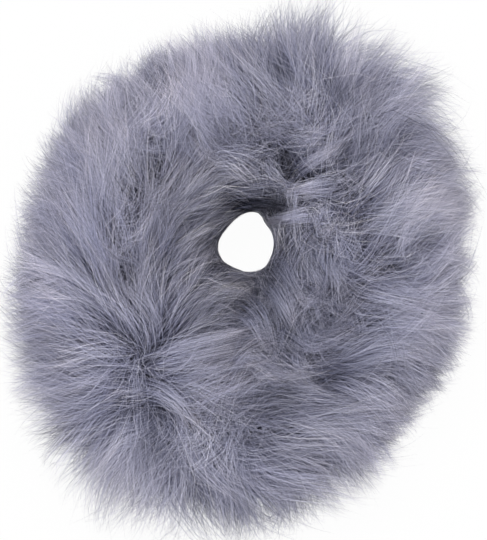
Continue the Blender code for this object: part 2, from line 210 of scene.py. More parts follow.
# Locks that lie over the rest: points along each, its strands, half width, tint, and lift over the pile
TOP_LOCKS = (
    # In the shade at the top of the hole: very dark locks that paint its shadow
    (((-4.5, 15.0), (4.5, 14.9), (10.6, 13.2)), 190, 0.7, -5.2, -0.8),
    (((-4.5, 13.4), (1.5, 13.9), (7.5, 13.2)), 80, 0.6, -5.0, 0.6),
    # Over the right of the hole
    (((20.0, 12.6), (11.5, 11.4), (3.2, 9.8)), 260, 1.5, 0.4, 1.2),
    (((24.0, 18.6), (16.5, 18.0), (8.6, 16.6)), 200, 2.0, 0.3, -0.8),
    # Up and right from the slit above it
    (((10.5, 20.5), (15.0, 23.5), (22.0, 27.5)), 110, 1.8, 0.0, -0.8),
    (((10.8, 23.5), (14.0, 27.5), (19.0, 32.0)), 80, 1.6, -0.2, -0.8),
    # Down from the right of the hole, and below it, darkened partly as painted shade round the hole
    (((6.8, 6.0), (9.5, -1.0), (14.0, -9.5)), 95, 2.8, -2.3, -0.8),
    (((5.0, -0.5), (8.5, -6.5), (12.0, -14.5)), 90, 2.6, -2.2, -0.8),
    (((-4.0, -6.0), (3.0, -11.0), (6.5, -19.5)), 80, 3.2, -2.0, -0.8),
    # Across the parting at the lower left
    (((-25.0, -22.0), (-12.0, -17.2), (3.0, -13.5)), 110, 2.2, -0.3, -0.8),
    (((-24.5, -24.0), (-13.0, -20.6), (-0.5, -17.5)), 100, 2.2, -0.6, -0.8),
    (((-23.0, -25.0), (-12.0, -24.0), (-1.0, -21.0)), 90, 2.2, -0.6, -0.8),
    (((-29.0, -27.7), (-20.1, -27.4), (-14.5, -30.7), (-10.4, -36.0)), 80, 3.0, -0.9, -0.8),
)
LOCK_TAPER = 0.55  # share of its width that a lock has lost at its tip
LOCK_ROOT_DEPTH = 7.0
LOCK_TIP_DEPTH = 0.8
LOCK_WAVE = 0.25
LOCK_CAST = -0.5
LOCK_SHADING = 0.3  # how much of the painted shade of the pits and the hole it takes
OVER_PITS = 9.0  # room over the pits, so that they don't draw a lock down


# Shape of the pile

def unit(vectors):
    return vectors / np.maximum(np.linalg.norm(vectors, axis=-1, keepdims=True), 1e-9)


def smooth(share):
    share = np.clip(share, 0, 1)
    return share * share * (3 - 2 * share)


def round_curve(points, bearing):
    """Value at this bearing on a closed curve through (bearing, value) points."""
    places, values = np.array(points).T
    return np.interp(np.degrees(bearing) % 360, places, values, period=360)


def hole_gap(spots):
    """How far these places are outside the edge of the hole, and the way there from its middle."""
    off = spots - HOLE_MIDDLE
    apart = np.hypot(off[:, 0], off[:, 1])
    return apart - round_curve(HOLE_EDGE, np.arctan2(off[:, 1], off[:, 0])), unit(off)


def pile_height(spots, pits=PITS):
    """Height of the tips of the pile over the floor, at these places seen from above."""
    bearing = np.arctan2(spots[:, 1], spots[:, 0])
    shift = np.hypot(*HOLE_MIDDLE)
    off = bearing - math.atan2(HOLE_MIDDLE[1], HOLE_MIDDLE[0])
    inner = shift * np.cos(off) + np.sqrt(np.maximum(HOLE_RADIUS**2 - (shift * np.sin(off)) ** 2, 0))
    outer = round_curve(OUTLINE, bearing)
    across = 2 * (np.hypot(spots[:, 0], spots[:, 1]) - inner) / (outer - inner) - 1
    level = np.clip(np.abs(across), 0, 1)
    fullness = np.where(across < 0, MOUTH_FULLNESS, PILE_FULLNESS)
    top = PILE_TOP + TUFT_SWELL * np.cos(TUFT_COUNT * (bearing - CLOSING_BEARING))
    height = top * (1 - level**fullness) ** (1 / fullness)
    height += RIM_SPREAD * smooth((across - RIM_START) / (1 - RIM_START))
    for x, y, radius, loss in pits:
        near = np.hypot(spots[:, 0] - x, spots[:, 1] - y) / radius
        height *= 1 - loss * np.exp(-0.5 * near**2)
    return TUBE_HEIGHT + height


def painted_shade_in_pile(points, shaded):
    """Painted shade at these points: 0 at the tips of the pile, 1 at its roots, and more in the pits and
    the mouth of the hole.
    """
    deep = np.clip((pile_height(points[:, :2], ()) - points[:, 2]) / SHADE_DEPTH, 0, 1)
    shade = HOLE_SHADE * np.exp(-((hole_gap(points[:, :2])[0] / HOLE_SHADE_REACH) ** 2))
    for x, y, radius, loss in PITS:
        near = np.hypot(points[:, 0] - x, points[:, 1] - y) / radius
        shade += PIT_SHADE * loss * np.exp(-0.5 * near**2)
    return deep + shaded * shade


# Painted light and shade of the patches at these places, as tint
def painted_patch_shading(spots):
    tint = np.zeros(len(spots))
    for x, y, radius, change in PAINTED_SHADING_PATCHES:
        near = np.hypot(spots[:, 0] - x, spots[:, 1] - y) / radius
        tint += change * np.exp(-0.5 * near**2)
    return tint


def comb(spots):
    """Which way the pile lies at these places, as unit vectors, and how far the guides agree on it."""
    guides = np.array(GUIDE_HAIRS, dtype=np.float32)
    ways = np.stack([np.cos(np.radians(guides[:, 2])), np.sin(np.radians(guides[:, 2]))], axis=1)
    pulled = FREE_PULL * unit(spots)
    total = np.full(len(spots), FREE_PULL)
    for start in range(0, len(spots), COMB_BLOCK):
        block = slice(start, start + COMB_BLOCK)
        off = spots[block].astype(np.float32)[:, None, :] - guides[None, :, :2]
        weight = np.exp(-0.5 * (off**2).sum(axis=2) / GUIDE_REACH**2)
        pulled[block] += weight @ ways
        total[block] += weight.sum(axis=1)
    agreed = np.linalg.norm(pulled, axis=1) / total
    for x, y, radius in TANGLES:
        near = np.hypot(spots[:, 0] - x, spots[:, 1] - y) / radius
        agreed *= 1 - TANGLE_LOOSENESS * np.exp(-0.5 * near**2)
    return unit(pulled), agreed


def turned(ways, angle):
    cos, sin = np.cos(angle), np.sin(angle)
    return np.stack([ways[:, 0] * cos - ways[:, 1] * sin, ways[:, 0] * sin + ways[:, 1] * cos], axis=1)


# Roots

def round_axis(bearing, radius, height):
    """Points, or directions, this far out from the ring's axis and this far up."""
    x, y = radius * np.cos(bearing), radius * np.sin(bearing)
    return np.stack(np.broadcast_arrays(x, y, height), axis=-1)


def on_tube(bearing, slant, lift=0.0):
    """Points this far outside the middle of the cloth; slant turns from the rim side over the top."""
    gather = GATHER_DEPTH * np.cos(GATHER_COUNT * (bearing - CLOSING_BEARING)) * (1 + np.sin(slant)) / 2
    reach = TUBE_RADIUS + gather + lift
    return round_axis(bearing, RING_RADIUS + reach * np.cos(slant), TUBE_HEIGHT + reach * np.sin(slant))


def spread(count, offset, jitter):
    """Roots spread evenly over the cloth, thinner underneath where the pile is crushed."""
    index = np.arange(1, count + 1)
    bearing = 2 * math.pi * ((offset + index * BEARING_STEP) % 1)
    slants = np.linspace(-math.pi, math.pi, SLANT_SAMPLES)
    dense = UNDERSIDE_DENSITY + (1 - UNDERSIDE_DENSITY) * smooth(1.2 + np.sin(slants))
    weight = (RING_RADIUS + TUBE_RADIUS * np.cos(slants)) * dense
    total = np.cumsum(weight)
    slant = np.interp((offset + index * SLANT_STEP) % 1, total / total[-1], slants)
    bearing = bearing + rng.normal(0, jitter / RING_RADIUS, count)
    slant = slant + rng.normal(0, jitter / TUBE_RADIUS, count)
    root = on_tube(bearing, slant, CLOTH_THICKNESS / 2)
    facing = round_axis(bearing, np.cos(slant), np.sin(slant))
    return bearing, slant, root, facing


def nearest(points, seeds):
    tree = KDTree(len(seeds))
    for i, seed in enumerate(seeds):
        tree.insert(seed, i)
    tree.balance()
    return np.array([tree.find(point)[1] for point in points])


# Growth

@dataclass
class Strands:
    """Roots and habits of many strands, one row each."""

    root: np.ndarray
    facing: np.ndarray
    length: np.ndarray
    run_in: np.ndarray  # how far they run towards the hole before they turn with the comb
    shift: np.ndarray  # how far off they read the comb
    turn: np.ndarray
    curl: np.ndarray
    lift: np.ndarray  # how steeply they rise off the top of the cloth, in degrees
    droop: np.ndarray  # and how steeply their tips hang at the rim
    stray: np.ndarray  # extra turn where the comb is undecided
    slack: np.ndarray  # how far the tips stand over the rest, or lie under them


def keep_clear(points, slack, depth=0.0):
    """Out of the backing, the hole and the floor, and under the tips of the pile."""
    points[:, 2] = np.minimum(points[:, 2], pile_height(points[:, :2]) + slack - depth)
    out = np.hypot(points[:, 0], points[:, 1])
    across, up = out - RING_RADIUS, points[:, 2] - TUBE_HEIGHT
    least = TUBE_RADIUS + CLOTH_THICKNESS
    push = np.maximum(least / np.maximum(np.hypot(across, up), 1e-6), 1)
    points[:, :2] *= ((RING_RADIUS + across * push) / np.maximum(out, 1e-6))[:, None]
    points[:, 2] = TUBE_HEIGHT + up * push
    margin = FRAY * np.minimum(np.abs(slack), MOST_SLACK)
    gap, away = hole_gap(points[:, :2])
    points[:, :2] += away * np.maximum(margin - gap, 0)[:, None]
    points[:, 2] = np.maximum(points[:, 2], FLOOR_GAP + margin)
    return points


def grow(strands):
    """Paths of strands from their roots: first off the cloth, then over along the comb."""
    path = [strands.root]
    upward = np.maximum(strands.facing[:, 2], 0)
    for step in range(STRAND_STEPS):
        share = (step + 0.5) / STRAND_STEPS
        here = path[-1]
        way, sure = comb(here[:, :2] + strands.shift)
        sure = smooth(sure * SURENESS)
        way = turned(way, strands.turn + strands.curl * share + (1 - sure) * strands.stray)
        droop = strands.droop * (1 - LESS_DROOP * upward)
        rise = np.radians(strands.lift * upward * (1 - share) - droop * share)
        lie = np.column_stack([way * np.cos(rise)[:, None], np.sin(rise)])
        bent = FIRST_BEND + (1 - FIRST_BEND) * smooth(share / BENT_BY)
        bent = (bent * (0.5 + 0.5 * sure))[:, None]
        going = unit((1 - bent) * strands.facing + bent * lie)
        running = 1 - smooth(1 + (share * strands.length - strands.run_in) / RUN_BLEND)
        run = np.column_stack([unit(HOLE_MIDDLE - here[:, :2]), np.full(len(here), RUN_RISE)])
        going = unit(going + (run - going) * running[:, None])
        ahead = here + going * (strands.length / STRAND_STEPS)[:, None]
        path.append(keep_clear(ahead, strands.slack, RUN_DEPTH * running))
    return np.stack(path, axis=1)


def run_to_hole(root, facing, share):
    """How far the strands on the hole's side run in, as a share of the way to its edge."""
    level = -(facing[:, :2] * unit(root[:, :2])).sum(axis=1)
    return hole_gap(root[:, :2])[0] * share * np.clip(RUN_SIDE * level, 0, 1)


def base_length(bearing, slant):
    """Length of the pile, longer where the outline stands farther out."""
    stretch = (round_curve(OUTLINE, bearing) - RING_RADIUS) / USUAL_REACH
    stretch = 1 + (stretch - 1) * np.maximum(np.cos(slant), 0)
    upward = np.sin(slant)
    length = SIDE_LENGTH + MORE_ON_TOP * np.maximum(upward, 0) - LESS_BELOW * np.maximum(-upward, 0)
    return stretch * length


def fitted_length(path, length, reach):
    """Lengths that end near the outline, for strands that reach out over the rim."""
    root_out = np.hypot(path[:, 0, 0], path[:, 0, 1])
    tip_out = np.hypot(path[:, -1, 0], path[:, -1, 1])
    limit = round_curve(OUTLINE, np.arctan2(path[:, -1, 1], path[:, -1, 0])) * reach
    level = np.clip(np.abs(path[:, -1, 2] - TUBE_HEIGHT) / RIM_ROUND, 0, RIM_ROUND_MOST)
    limit = RING_RADIUS + (limit - RING_RADIUS) * (1 - level**PILE_FULLNESS) ** (1 / PILE_FULLNESS)
    factor = np.clip((limit - root_out) / np.maximum(tip_out - root_out, 1e-6), LEAST_FIT, MOST_FIT)
    return length * np.where(tip_out > limit * FIT_FROM, factor, 1.0)


def along(path, share):
    """Points on polylines at these shares of their length, one row of shares for each."""
    place = np.clip(share, 0, 1) * (path.shape[1] - 1)
    low = np.minimum(place.astype(int), path.shape[1] - 2)
    row = np.arange(len(path))[:, None]
    part = (place - low)[:, :, None]
    return path[row, low] * (1 - part) + path[row, low + 1] * part


def grow_locks():
    """The locks that the coat is drawn into: habits, paths, reach towards the outline, tint and cast."""
    tress_root = spread(TRESS_COUNT, offset=0.31, jitter=0.0)[2]
    tress_turn = rng.normal(0, math.radians(12), TRESS_COUNT)
    tress_lift = rng.normal(0, 9, TRESS_COUNT)
    tress_tint = rng.normal(0, 1, TRESS_COUNT)
    tress_cast = rng.normal(0, 1, TRESS_COUNT)

    count = LOCK_COUNT
    bearing, slant, root, facing = spread(count, offset=0.17, jitter=0.65)
    tress = nearest(root, tress_root)
    run_in = run_to_hole(root, facing, rng.uniform(0.15, 1.3, count))
    length = base_length(bearing, slant) * rng.uniform(0.85, 1.1, count)
    locks = Strands(
        root=root,
        facing=facing,
        length=np.maximum(length * 0.9, run_in + rng.uniform(8, 13, count)),
        run_in=run_in,
        shift=rng.normal(0, 1.8, (count, 2)),
        turn=tress_turn[tress] + rng.normal(0, math.radians(13), count),
        curl=rng.normal(0, math.radians(18), count),
        lift=54 + tress_lift[tress] + rng.normal(0, 11, count),
        droop=rng.normal(36, 12, count),
        stray=rng.normal(0, 1.2, count),
        slack=rng.normal(0, 1.2, count),
    )
    reach = LOCK_REACH - LOCK_SHORTER * rng.random(count)
    tint = TRESS_TINT * tress_tint[tress] + LOCK_TINT * rng.normal(0, 1, count)
    locks.length = fitted_length(grow(locks), locks.length, reach)
    return locks, grow(locks), reach, tint, tress_cast[tress]


def grow_coat():
    """The long strands, drawn together into locks."""
    locks, lock_path, lock_reach, lock_tint, lock_cast = grow_locks()
    count = COAT_COUNT
    bearing, slant, root, facing = spread(count, offset=0.0, jitter=0.13)
    lock = nearest(root, locks.root)
    loose = rng.random(count) < LOOSE_SHARE
    run_in = locks.run_in[lock] * rng.uniform(0.85, 1.1, count)
    length = base_length(bearing, slant) * rng.uniform(0.45, 1.1, count) ** 0.7
    turn = locks.turn[lock] + rng.normal(0, math.radians(8), count)
    strands = Strands(
        root=root,
        facing=unit(facing + rng.normal(0, 0.2, (count, 3))),
        length=np.maximum(length, run_in + rng.uniform(5, 12, count)),
        run_in=run_in,
        shift=locks.shift[lock] + rng.normal(0, 0.6, (count, 2)),
        turn=turn + loose * rng.normal(0, math.radians(24), count),
        curl=locks.curl[lock] + rng.normal(0, math.radians(10), count),
        lift=locks.lift[lock] + rng.normal(0, 13, count),
        droop=locks.droop[lock] + rng.normal(0, 12, count),
        stray=locks.stray[lock] + rng.normal(0, 0.7, count),
        slack=locks.slack[lock] + rng.normal(0, 1.0, count),
    )
    reach = lock_reach[lock] + STRAND_OVER - STRAND_SHORTER * rng.random(count) ** 1.2
    strands.length = fitted_length(grow(strands), strands.length, reach)
    path = grow(strands)

    # Draw the strands of a lock together towards its tip
    share = np.linspace(0, 1, STRAND_STEPS + 1)
    spot = along(lock_path[lock], share[None, :] * (strands.length / locks.length[lock])[:, None])
    spot = spot + KEPT_APART * (root - locks.root[lock])[:, None, :]
    draw = np.where(loose, 0.0, rng.uniform(0.3, 0.85, LOCK_COUNT)[lock])
    draw = draw * (0.5 + 0.5 * smooth(1.6 * facing[:, 2]))
    draw = draw[:, None] * smooth(share * 1.1)[None, :]
    path = path + (spot - path) * draw[:, :, None]
    wave = WAVE * np.sin(share[None, :] * rng.uniform(4, 9, count)[:, None] + lock[:, None])
    path[:, :, :2] += (wave * share)[:, :, None] * turned(unit(facing[:, :2]), math.pi / 2)[:, None, :]
    for step in range(1, STRAND_STEPS + 1):
        path[:, step] = keep_clear(path[:, step].copy(), strands.slack)

    radius = STRAND_RADIUS * rng.uniform(0.7, 1.25, count) * np.where(loose, 0.85, 1.0)
    own = rng.normal(0, 1.0, count) - DARK_TINT * (rng.random(count) < DARK_SHARE)
    shaded = np.clip(0.8 - 0.5 * own, 0.1, 2.2)  # share of the painted shade of pits and hole that each strand takes; the palest lie on top
    own *= 1 + HOLE_CONTRAST * np.exp(-((hole_gap(path[:, -1, :2])[0] / HOLE_CONTRAST_REACH) ** 2))
    # the patches add painted light and shade to each strand's own tint
    tint = lock_tint[lock] + own + LOOSE_TINT * loose + painted_patch_shading(path[:, 3, :2])
    return path, radius, tint, lock_cast[lock], shaded


def grow_short(count, offset, low_run, high_run, tint):
    """Short fibres that stand on the cloth every way and close the partings, or line the hole."""
    bearing, slant, root, facing = spread(count, offset, jitter=0.3)
    run_in = run_to_hole(root, facing, rng.uniform(low_run, high_run, count))
    strands = Strands(
        root=root,
        facing=unit(facing + rng.normal(0, 0.35, (count, 3))),
        length=np.maximum(rng.uniform(9, 13, count), run_in + rng.uniform(1, 4, count)),
        run_in=run_in,
        shift=rng.normal(0, 2.0, (count, 2)),
        turn=rng.normal(0, 0.9, count),
        curl=rng.normal(0, 0.5, count),
        lift=rng.normal(55, 10, count),
        droop=rng.normal(20, 60, count),
        stray=rng.normal(0, 1.5, count),
        slack=rng.normal(-3, 1.0, count),
    )
    radius = STRAND_RADIUS * rng.uniform(0.9, 1.5, count)
    return grow(strands), radius, rng.normal(tint, 0.7, count), np.zeros(count), np.ones(count)


def curved_through(points, place):
    """Points on a smooth curve through these ones, at places counted in them."""
    spots = np.array(points, dtype=float)
    spots = np.concatenate([2 * spots[:1] - spots[1:2], spots, 2 * spots[-1:] - spots[-2:-1]])
    low = np.clip(place.astype(int), 0, len(points) - 2)
    part = (place - low)[..., None]
    p0, p1, p2, p3 = (spots[low + i] for i in range(4))
    bend = (2 * p0 - 5 * p1 + 4 * p2 - p3) * part**2 + (3 * p1 - p0 - 3 * p2 + p3) * part**3
    return p1 + 0.5 * ((p2 - p0) * part + bend)


def grow_top_lock(points, count, half_width, tint, lift):
    """A lock that lies over the rest of the pile."""
    share = np.linspace(0, 1, STRAND_STEPS + 1)
    start = rng.uniform(0, 0.35, count)[:, None]
    end = rng.uniform(0.7, 1.05, count)[:, None]
    place = start + (end - start) * share
    middle = curved_through(points, place * (len(points) - 1))
    ahead = unit(np.gradient(middle, axis=1))
    across = np.stack([-ahead[:, :, 1], ahead[:, :, 0]], axis=2)
    aside = half_width * rng.normal(0, 0.7, count)[:, None] * (1 - LOCK_TAPER * smooth(place))
    aside = aside + rng.normal(0, 0.5, count)[:, None] * share**2
    bends = rng.uniform(3, 8, count)[:, None]
    aside = aside + LOCK_WAVE * np.sin(bends * share + rng.uniform(0, 6, count)[:, None])
    flat = middle + across * aside[:, :, None]
    deep = LOCK_ROOT_DEPTH * (1 - smooth(share * 1.8)) + LOCK_TIP_DEPTH * share
    over = rng.normal(lift, 1.0, count)
    path = np.empty((count, STRAND_STEPS + 1, 3))
    for step in range(STRAND_STEPS + 1):
        spot = flat[:, step]
        height = pile_height(spot, ()) + over - deep[step]
        path[:, step] = keep_clear(np.column_stack([spot, height]), np.full(count, 1.0), -OVER_PITS)
    radius = STRAND_RADIUS * rng.uniform(0.7, 1.2, count)
    tints = tint + rng.normal(0, 1.3, count)
    return path, radius, tints, np.full(count, LOCK_CAST), np.full(count, LOCK_SHADING)


def clear_hole(path):
    """Move strands whose segments cut across the edge of the hole."""
    for step in range(1, path.shape[1] - 1):
        ends = path[:, step : step + 2]
        gap, away = hole_gap(ends[:, :, :2].mean(axis=1))
        ends[:, :, :2] += (away * np.maximum(-HOLE_PUSH * gap, 0)[:, None])[:, None, :]
    return path


def cuts_cloth(path):
    """Which strands cut through the tube of cloth on the way to a deep pit."""
    middle = (path[:, 1:] + path[:, :-1]) / 2
    across = np.hypot(middle[:, :, 0], middle[:, :, 1]) - RING_RADIUS
    return (np.hypot(across, middle[:, :, 2] - TUBE_HEIGHT) < TUBE_RADIUS - CLOTH_THICKNESS).any(axis=1)


def groom():
    """Path, thickness, tint and cast of every strand, and how much painted shade it takes from the pile
    round it.
    """
    groups = [
        grow_coat(),
        grow_short(UNDERCOAT_COUNT, offset=0.53, low_run=0.3, high_run=1.4, tint=-0.8),
        grow_short(LINING_COUNT, offset=0.71, low_run=1.0, high_run=1.4, tint=-0.5),
    ]
    groups += [grow_top_lock(*lock) for lock in TOP_LOCKS]
    path, *habits = (np.concatenate(column) for column in zip(*groups))
    path = clear_hole(path)
    kept = ~cuts_cloth(path)
    return path[kept], *(habit[kept] for habit in habits)


# Meshes

MAP_COLUMNS = 64  # of cells on the map, one cell for each strand
CELL_MARGIN = 0.05
ROOT_WIDTH = 0.05  # of the root's end on its cell, which comes first
SIDES_START = 0.08  # then its sides, from root to tip
SIDES_LENGTH = 0.9
SIDE_FILL = 0.8  # share of its strip that each side fills
ACROSS_STRANDS = (0.31, 0.17, 0.93)  # a direction that strands hardly ever take


def strand_faces(rings, sides):
    """Corners of one strand's faces, and where they lie on its cell of the map: root to tip, round."""
    quads, quad_spots, ends, end_spots = [], [], [], []
    for side in range(sides):
        after = (side + 1) % sides
        low, high = side / sides, (side + SIDE_FILL) / sides
        for ring in range(rings - 1):
            near, far = ring * sides, (ring + 1) * sides
            quads += [near + side, near + after, far + after, far + side]
            left, right = (SIDES_START + SIDES_LENGTH * end / rings for end in (ring, ring + 1))
            quad_spots += [(left, low), (left, high), (right, high), (right, low)]
        last = (rings - 1) * sides
        ends += [last + side, last + after, rings * sides]
        left = SIDES_START + SIDES_LENGTH * (rings - 1) / rings
        end_spots += [(left, low), (left, high), (SIDES_START + SIDES_LENGTH, (low + high) / 2)]
    ends += [2, 1, 0]
    end_spots += [(0.0, 0.0), (ROOT_WIDTH, 0.0), (ROOT_WIDTH, SIDE_FILL)]
    sizes = [4] * (len(quads) // 4) + [3] * (len(ends) // 3)
    return np.array(quads + ends), np.array(quad_spots + end_spots), np.array(sizes)


def add_attribute(mesh, name, values):
    made = mesh.attributes.new(name, "FLOAT", "POINT")
    made.data.foreach_set("value", values.astype(np.float32).ravel())


def strand_mesh(name, path, radius, tint, cast, shaded):
    """Three-sided tapered strands, each closed at its root and ending in a point."""
    count, rings, sides = len(path), path.shape[1] - 1, 3
    ahead = unit(np.gradient(path, axis=1))
    flat = unit(np.cross(ahead, np.array(ACROSS_STRANDS)))
    stand = np.cross(ahead, flat)
    thick = radius[:, None] * np.array(STRAND_PROFILE)[None, :]
    turns = [2 * math.pi * side / sides for side in range(sides)]
    arms = [flat * math.cos(turn) + stand * math.sin(turn) for turn in turns]
    corners = np.stack([path + arm * thick[:, :, None] for arm in arms], axis=2)
    points = np.concatenate([corners[:, :rings].reshape(count, rings * sides, 3), path[:, rings:]], axis=1)
    points[:, :, :2] += AXIS[:2]
    each = rings * sides + 1

    corner, spot, sizes = strand_faces(rings, sides)
    first = np.arange(count)[:, None]
    starts = np.cumsum(sizes) - sizes
    mesh = bpy.data.meshes.new(name)
    mesh.vertices.add(count * each)
    mesh.vertices.foreach_set("co", (points * MM).astype(np.float32).ravel())
    mesh.loops.add(count * len(corner))
    mesh.loops.foreach_set("vertex_index", (first * each + corner).astype(np.int32).ravel())
    mesh.polygons.add(count * len(sizes))
    mesh.polygons.foreach_set("loop_start", (first * len(corner) + starts).astype(np.int32).ravel())
    mesh.update(calc_edges=True)
    mesh.shade_smooth()

    # A cell of the map for each strand, so that no two share a place
    cell = np.stack([np.arange(count) % MAP_COLUMNS, np.arange(count) // MAP_COLUMNS], axis=1)
    cells = np.array([MAP_COLUMNS, math.ceil(count / MAP_COLUMNS)])
    places = (cell[:, None, :] + CELL_MARGIN + (1 - 2 * CELL_MARGIN) * spot[None, :, :]) / cells
    mesh.uv_layers.new(name="OFBake").uv.foreach_set("vector", places.astype(np.float32).ravel())

    share = np.append(np.repeat(np.arange(rings) / rings, sides), 1.0)
    # Painted shade of each ring, kept in the depth attribute: darker deep in the pile, in the pits and
    # round the hole
    deep = np.stack([painted_shade_in_pile(path[:, i], shaded) for i in range(rings + 1)], axis=1)
    deep = np.concatenate([np.repeat(deep[:, :rings], sides, axis=1), deep[:, rings:]], axis=1)
    add_attribute(mesh, "along", np.tile(share, count))
    add_attribute(mesh, "tint", np.repeat(tint, each))
    add_attribute(mesh, "cast", np.repeat(cast, each))
    add_attribute(mesh, "depth", deep)
    return mesh


def grid_mesh(name, points, spots):
    """An open sheet through rows of points, with each point's place on the flat cloth."""
    rows, columns = points.shape[:2]
    index = np.arange(rows * columns).reshape(rows, columns)
    corners = [index[:-1, :-1], index[:-1, 1:], index[1:, 1:], index[1:, :-1]]
    faces = np.stack(corners, axis=2).reshape(-1, 4)
    flat = points.reshape(-1, 3).copy()
    flat[:, :2] += AXIS[:2]
    mesh = bpy.data.meshes.new(name)
    mesh.from_pydata((flat * MM).tolist(), [], faces.tolist())
    places = spots.reshape(-1, 2)[faces.ravel()]
    mesh.uv_layers.new(name="cut").uv.foreach_set("vector", places.astype(np.float32).ravel())
    mesh.shade_smooth()
    return mesh


def add_piece(name, data, material, body, slot, *nodes):
    piece = bpy.data.objects.new(name, data)
    bpy.context.scene.collection.objects.link(piece)
    piece.data.materials.append(material)
    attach(piece, body)
    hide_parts(*nodes)
    return piece


def thicken(piece, thickness):
    solidify = piece.modifiers.new("thickness", "SOLIDIFY")
    solidify.thickness = thickness * MM
    solidify.offset = 0.0
    solidify.use_even_offset = True


def make_fur():
    path, *habits = groom()
    sector = np.floor((np.arctan2(path[:, 0, 1], path[:, 0, 0]) / (2 * math.pi) % 1) * PIECES).astype(int)
    material = fur_material()
    for i in range(PIECES):
        own = sector == i
        name = f"fur_strands_{i + 1:02d}"
        mesh = strand_mesh(name, path[own], *(habit[own] for habit in habits))
        add_piece(name, mesh, material, "fur_sleeve", "fur", "fur_pile")


# Cloth, elastic and thread inside the fur

FLANGE_OFFSET = (CLOTH_THICKNESS + SEAM_GAP) / 2
FLANGE_SLANT = math.asin(FLANGE_OFFSET / TUBE_RADIUS)
ELASTIC_RADIUS = 22.52  # of its inner face
ELASTIC_THICKNESS = 1.2
ELASTIC_WIDTH = 6.0
OVERLAP_LENGTH = 14.0
ELASTIC_OVERLAP = OVERLAP_LENGTH / ELASTIC_RADIUS  # radians
ELASTIC_RAMP = math.radians(40)
JOIN_BEARING = math.radians(242)
CLEARANCE = 0.3
THREAD_RADIUS = 0.25
CUT_LENGTH = 220.0  # of the fur fabric, before it was gathered
BACKING_STEPS, BACKING_ROWS = 216, 48
EDGE_ROWS = (1.0, 0.66, 0.33)  # shares of the seam allowance, from the cut edge down
ELASTIC_STEPS, ELASTIC_ROWS = 288, 8

# Stitches
LONG_STITCHES = 24
LONG_SEAM_INSET = 2.2  # from the edges of the cloth
CLOSING_STITCHES = 9
CLOSING_BITE = 2.5  # from the ends of the tube
CLOSING_SLANTS = (-65, 140)  # degrees, from the rim side over the top
JOIN_STITCHES = 6
JOIN_INSET = 1.2  # from the ends of the overlap
JOIN_HALF_WIDTH = 1.8
THREAD_STEP = 0.3
THREAD_CORNER = 0.6  # how far from each turn its corner is cut off
THREAD_CORNER_MOST = 0.4  # as a share of the stretch
PLY_TWIST = 1.4  # length of one turn
ACROSS_THREADS = (0.2, 0.3, 0.93)  # a direction that no thread takes
PLY_RADIUS = 0.55 * THREAD_RADIUS
PLY_OFFSET = 0.45 * THREAD_RADIUS


def make_backing(elastic):
    """A tube of cloth gathered on the elastic, with both long edges turned in at the bottom."""
    half_gap = SEAM_GAP / 2 / RING_RADIUS
    share = np.linspace(0, 1, BACKING_STEPS + 1)
    bearing = CLOSING_BEARING + half_gap + share * 2 * (math.pi - half_gap)
    foot = TUBE_HEIGHT - TUBE_RADIUS * math.cos(FLANGE_SLANT)
    edge = foot + SEAM_ALLOWANCE * np.array(EDGE_ROWS)
    slant = -math.pi / 2 - FLANGE_SLANT - np.linspace(0, 2 * (math.pi - FLANGE_SLANT), BACKING_ROWS + 1)
    rows = [round_axis(bearing, RING_RADIUS - FLANGE_OFFSET, height) for height in edge]
    rows += [on_tube(bearing, turn) for turn in slant]
    rows += [round_axis(bearing, RING_RADIUS + FLANGE_OFFSET, height) for height in edge[::-1]]
    points = np.array(rows)
    steps = np.linalg.norm(np.diff(points[:, 0], axis=0), axis=1)
    across = np.append(0, np.cumsum(steps))
    spots = np.stack(np.meshgrid(share * CUT_LENGTH, across), axis=2)
    # the darker colour is painted shade between the stitches
    cloth = cloth_material("knit_cloth", (0.10, 0.10, 0.13), (0.20, 0.20, 0.25), stitch=1.3, roughness=0.9)
    backing = add_piece(
        "gathered_backing", grid_mesh("gathered_backing", points, spots), cloth,
        "fur_sleeve", "knit_cloth", "knit_backing",
    )
    thicken(backing, CLOTH_THICKNESS)


def make_elastic():
    """Once round the inside of the tube, then on over its own start."""
    share = np.linspace(0, 1, ELASTIC_STEPS + 1)
    turn = share * (2 * math.pi + ELASTIC_OVERLAP)
    climb = smooth((turn - 2 * math.pi + ELASTIC_RAMP) / ELASTIC_RAMP)
    radius = ELASTIC_RADIUS + ELASTIC_THICKNESS / 2 + climb * (ELASTIC_THICKNESS + CLEARANCE)
    bearing = JOIN_BEARING - ELASTIC_OVERLAP / 2 + turn
    across = np.linspace(0, ELASTIC_WIDTH, ELASTIC_ROWS + 1)
    foot = TUBE_HEIGHT - ELASTIC_WIDTH / 2
    points = np.array([round_axis(bearing, radius, foot + up) for up in across])
    spots = np.stack(np.meshgrid(turn * ELASTIC_RADIUS, across), axis=2)
    # the darker colour is painted shade between the stitches
    webbing = cloth_material("elastic", (0.34, 0.34, 0.36), (0.62, 0.62, 0.64), stitch=0.9, roughness=0.75)
    elastic = add_piece(
        "elastic_webbing", grid_mesh("elastic_webbing", points, spots), webbing,
        "elastic_loop", "elastic", "elastic_band",
    )
    thicken(elastic, ELASTIC_THICKNESS)
    return elastic


def long_seam_path():
    """A running stitch through both turned-in edges."""
    lift = SEAM_GAP / 2 + CLOTH_THICKNESS + CLEARANCE + 2 * THREAD_RADIUS
    height = TUBE_HEIGHT - TUBE_RADIUS + SEAM_ALLOWANCE - LONG_SEAM_INSET
    stops = []
    for i in range(LONG_STITCHES):
        bearing = CLOSING_BEARING + (i + 0.5) * 2 * math.pi / LONG_STITCHES
        side = lift if i % 2 else -lift
        stops += [round_axis(bearing, RING_RADIUS + shift, height) for shift in (side, -side)]
    return stops


